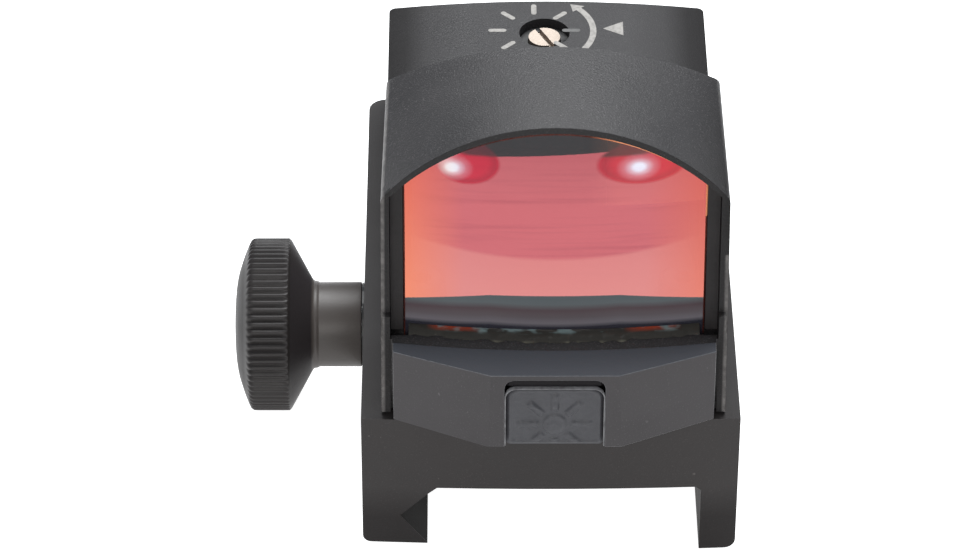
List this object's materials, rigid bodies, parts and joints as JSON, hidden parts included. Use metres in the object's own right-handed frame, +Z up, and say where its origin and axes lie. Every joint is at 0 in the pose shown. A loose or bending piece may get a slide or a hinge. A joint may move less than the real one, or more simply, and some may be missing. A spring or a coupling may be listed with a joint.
{
  "type": "red dot finder",
  "caption": "Hooded reflex sight used as a finder: coated reflector lens, push pad, rear adjusters and a rail base clamped by a side thumb knob.",
  "frame": {"origin": "on the rail seat (underside of the base's web) at the base's mid-width, 10 mm behind its front face", "axes": "+X to the right seen from the front (sky side), +Y back along the rail to the user's eye, +Z up away from the rail"},
  "size_m": [0.0382, 0.0457, 0.0366],
  "materials": {
    "mount_base": "satin black anodised aluminium",
    "clamp_jaw": "satin black anodised aluminium",
    "jaw_guide_pin": "ground steel",
    "cross_bolt": "turned steel",
    "thumb_knob": "black, straight knurled",
    "thrust_washer": "blackened steel",
    "housing": "sand-blasted black anodised aluminium",
    "front_bezel": "satin black anodised aluminium",
    "power_button": "matt moulded rubber",
    "tact_switch": "moulded",
    "switch_plunger": "moulded",
    "lens": "red dichroic coating",
    "lens_cement": "semi-gloss black sealant",
    "foot_sealant": "glossy black sealant",
    "elevation_screw": "turned brass",
    "o_ring": "black nitrile",
    "elevation_nut": "milled",
    "windage_screw": "turned brass",
    "windage_slide": "milled",
    "emitter_holder": "black acetal",
    "led_emitter": "clear red epoxy",
    "spring": "spring wire",
    "emitter_window": "clear",
    "adjuster_plate": "stamped",
    "circuit_board": "green solder mask",
    "battery": "polished can",
    "battery_contact": "stamped",
    "base_gasket": "black sheet rubber",
    "body_screw": "blackened steel",
    "locating_pin": "ground steel"
  },
  "bodies": {
    "root": {"adjuster_plate": "adjuster_plate", "base_gasket": "base_gasket", "battery": "battery", "battery_contact_side": "battery_contact", "battery_contact_top": "battery_contact", "body_screw_left": "body_screw", "body_screw_right": "body_screw", "circuit_board": "circuit_board", "elevation_o_ring": "o_ring", "elevation_spring": "spring", "emitter_window": "emitter_window", "foot_sealant": "foot_sealant", "front_bezel": "front_bezel", "housing": "housing", "jaw_guide_pin_front": "jaw_guide_pin", "jaw_guide_pin_rear": "jaw_guide_pin", "lens": "lens", "lens_cement": "lens_cement", "locating_pin_1": "locating_pin", "locating_pin_2": "locating_pin", "locating_pin_3": "locating_pin", "locating_pin_4": "locating_pin", "mount_base": "mount_base", "tact_switch": "tact_switch", "thrust_washer": "thrust_washer", "windage_o_ring": "o_ring", "windage_spring": "spring"},
    "knob": {"thumb_knob": "thumb_knob", "cross_bolt": "cross_bolt"},
    "jaw": {"clamp_jaw": "clamp_jaw"},
    "button": {"power_button": "power_button", "switch_plunger": "switch_plunger"},
    "elevation_screw": {"elevation_screw": "elevation_screw"},
    "elevation_nut": {"elevation_nut": "elevation_nut"},
    "windage_screw": {"windage_screw": "windage_screw"},
    "windage_slide": {"windage_slide": "windage_slide"},
    "emitter": {"emitter_holder": "emitter_holder", "led_emitter": "led_emitter"}
  },
  "joints": [
    {"name": "knob_turn", "type": "hinge", "parent": "root", "child": "knob", "pos_m": [-0.02, 0.00998, -0.00037], "axis": [1, 0, 0], "range_deg": [0, 900]},
    {"name": "jaw_slide", "type": "slide", "parent": "root", "child": "jaw", "axis": [1, 0, 0], "range_m": [0, 0.00175]},
    {"name": "button_press", "type": "slide", "parent": "root", "child": "button", "axis": [0, 1, 0], "range_m": [0, 0.0004], "stiffness_N_per_m": 400},
    {"name": "elevation_turn", "type": "hinge", "parent": "root", "child": "elevation_screw", "pos_m": [0, 0.0279, 0.01487], "axis": [0, 0, 1], "range_deg": [-360, 360]},
    {"name": "elevation_nut_slide", "type": "slide", "parent": "root", "child": "elevation_nut", "axis": [0, 0, 1], "range_m": [-0.000399, 0.000399], "deforming": ["elevation_spring"]},
    {"name": "windage_turn", "type": "hinge", "parent": "root", "child": "windage_screw", "pos_m": [0.0127, 0.0232, 0.0104], "axis": [1, 0, 0], "range_deg": [-360, 360]},
    {"name": "windage_slide", "type": "slide", "parent": "root", "child": "windage_slide", "axis": [1, 0, 0], "range_m": [-0.000399, 0.000399], "deforming": ["windage_spring"]},
    {"name": "emitter_slide", "type": "slide", "parent": "windage_slide", "child": "emitter", "axis": [0, 0, 1], "range_m": [-0.00041, 0.00041]}
  ],
  "couplings": [
    {"joint": "knob_turn", "follows": "jaw_slide", "rad_per_m": 8976},
    {"joint": "elevation_turn", "follows": "elevation_nut_slide", "rad_per_m": 15708},
    {"joint": "emitter_slide", "follows": "elevation_nut_slide", "ratio": 1},
    {"joint": "windage_turn", "follows": "windage_slide", "rad_per_m": 15708}
  ]
}
